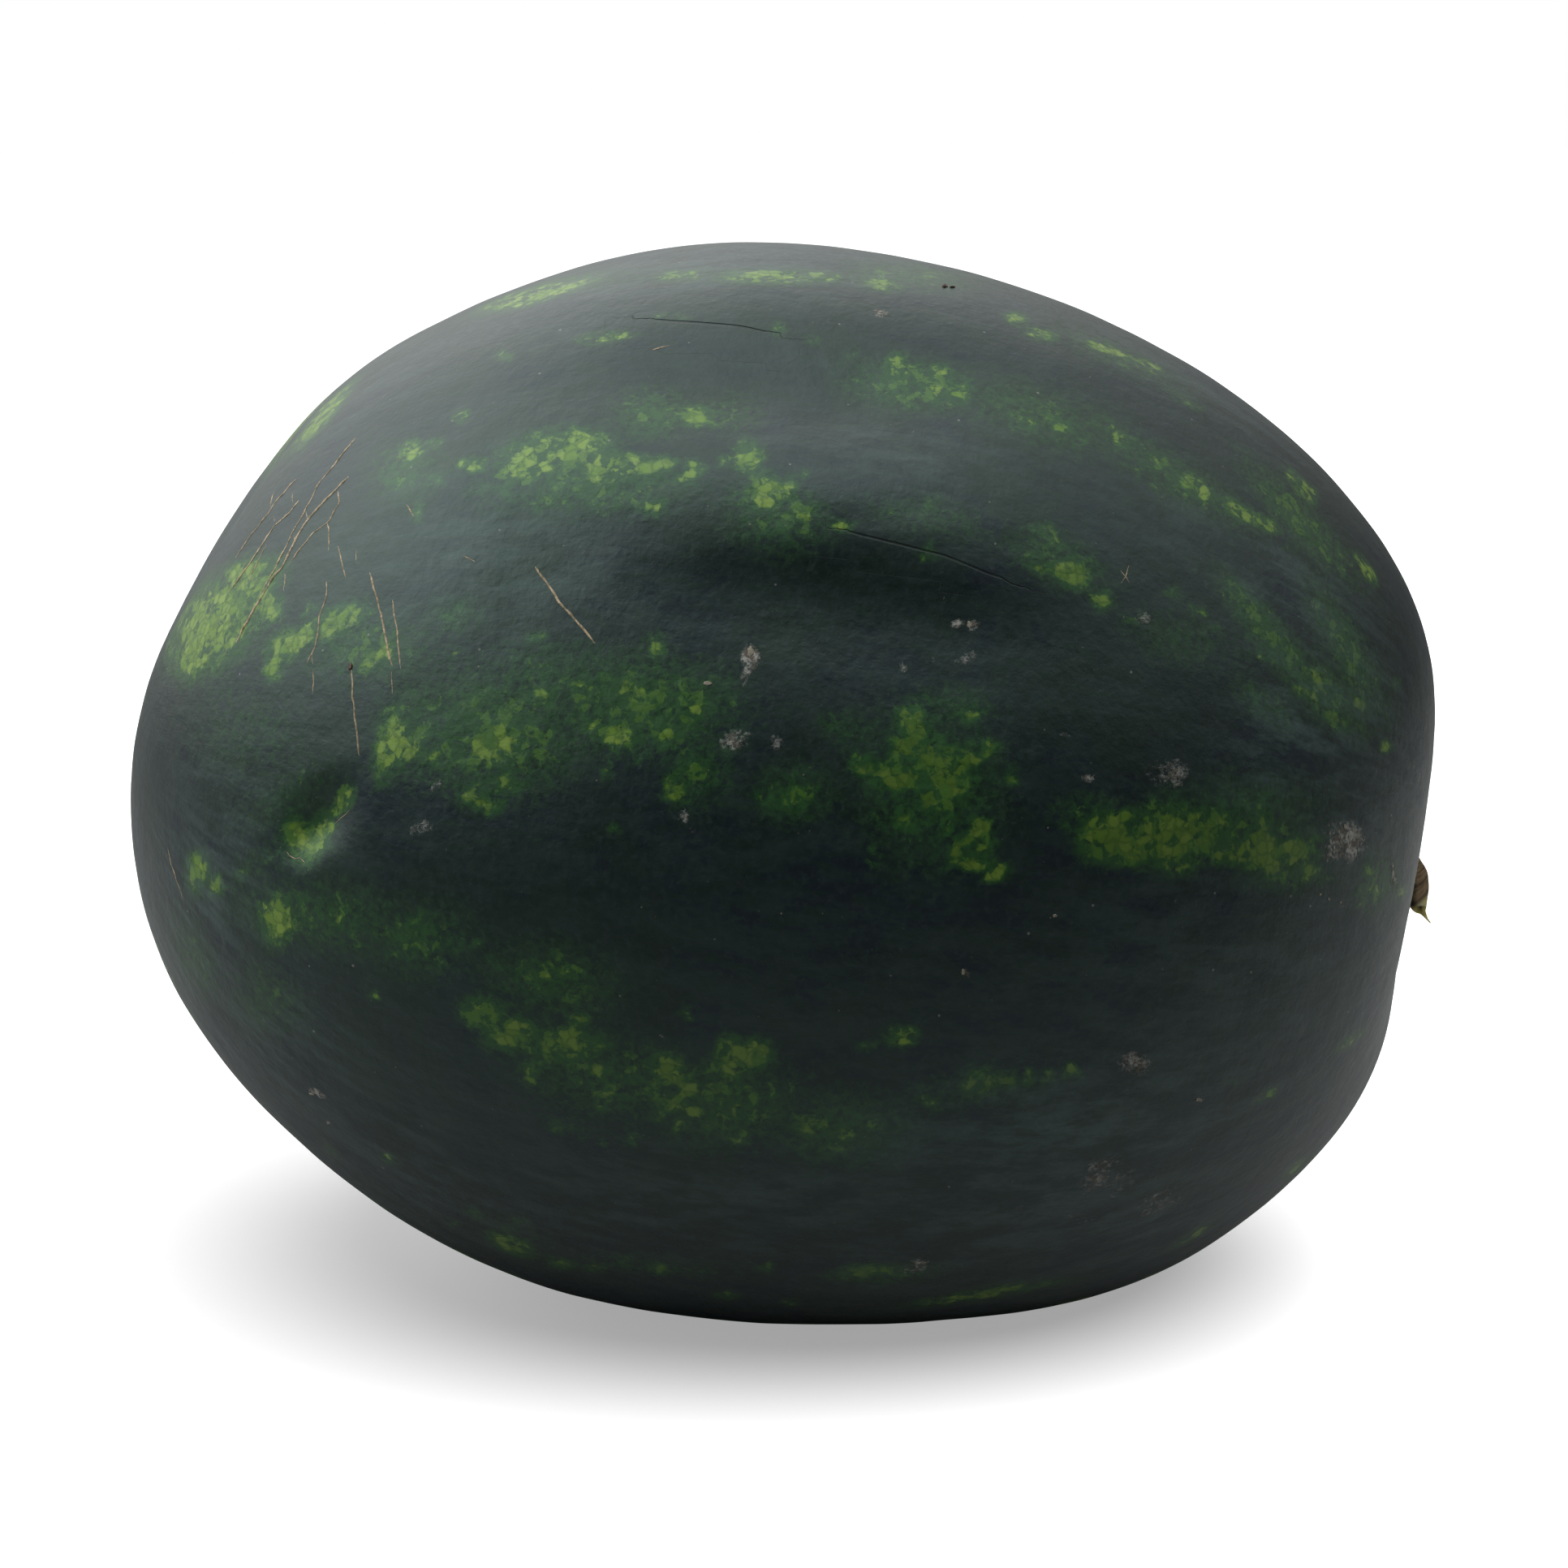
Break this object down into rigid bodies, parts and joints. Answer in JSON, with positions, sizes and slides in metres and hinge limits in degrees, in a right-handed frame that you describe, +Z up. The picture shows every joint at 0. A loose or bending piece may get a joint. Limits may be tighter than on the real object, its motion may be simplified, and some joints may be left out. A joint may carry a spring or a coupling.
{
  "type": "watermelon",
  "caption": "Whole dark-skinned watermelon lying on its side, with broken pale stripes, a healed gouge and a short dry stalk in the hollow at its stem end.",
  "frame": {"origin": "on the ground under the middle of the fruit's box, stalk included", "axes": "+X along the fruit towards its stem end, -Y towards the front, the side with the gouge, +Z up"},
  "size_m": [0.2822, 0.232, 0.2271],
  "materials": {
    "rind": "waxy watermelon rind, dark green with broken yellow-green stripes and a grey-blue bloom, satin",
    "dry_stalk": "dry ridged brown stalk with a paler torn end, matt"
  },
  "bodies": {
    "root": {"melon": "rind", "stem": "dry_stalk"}
  },
  "joints": []
}
